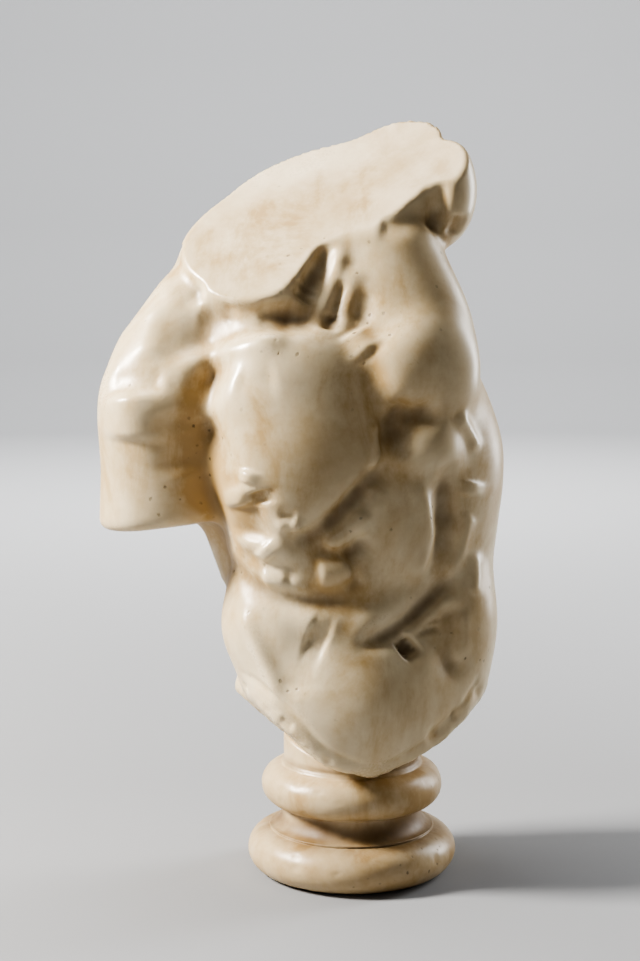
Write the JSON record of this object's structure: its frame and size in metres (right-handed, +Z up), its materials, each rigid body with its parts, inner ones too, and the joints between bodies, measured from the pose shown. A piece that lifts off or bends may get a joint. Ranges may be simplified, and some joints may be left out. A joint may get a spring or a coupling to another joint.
{
  "type": "marble torso sculpture",
  "caption": "Weathered marble torso of a standing male figure, broken at neck, arm and hips, on a round turned marble socle.",
  "frame": {"origin": "centre of the socle's flat underside", "axes": "+Z up; -Y is the sculpture's front; +X is to the right of someone facing the front, so the hanging arm's stump is on the -X side"},
  "size_m": [0.3456, 0.183, 0.647],
  "materials": {
    "torso_marble": "satin",
    "socle_marble": "satin"
  },
  "bodies": {
    "root": {"torso": "torso_marble", "socle": "socle_marble"}
  },
  "joints": []
}
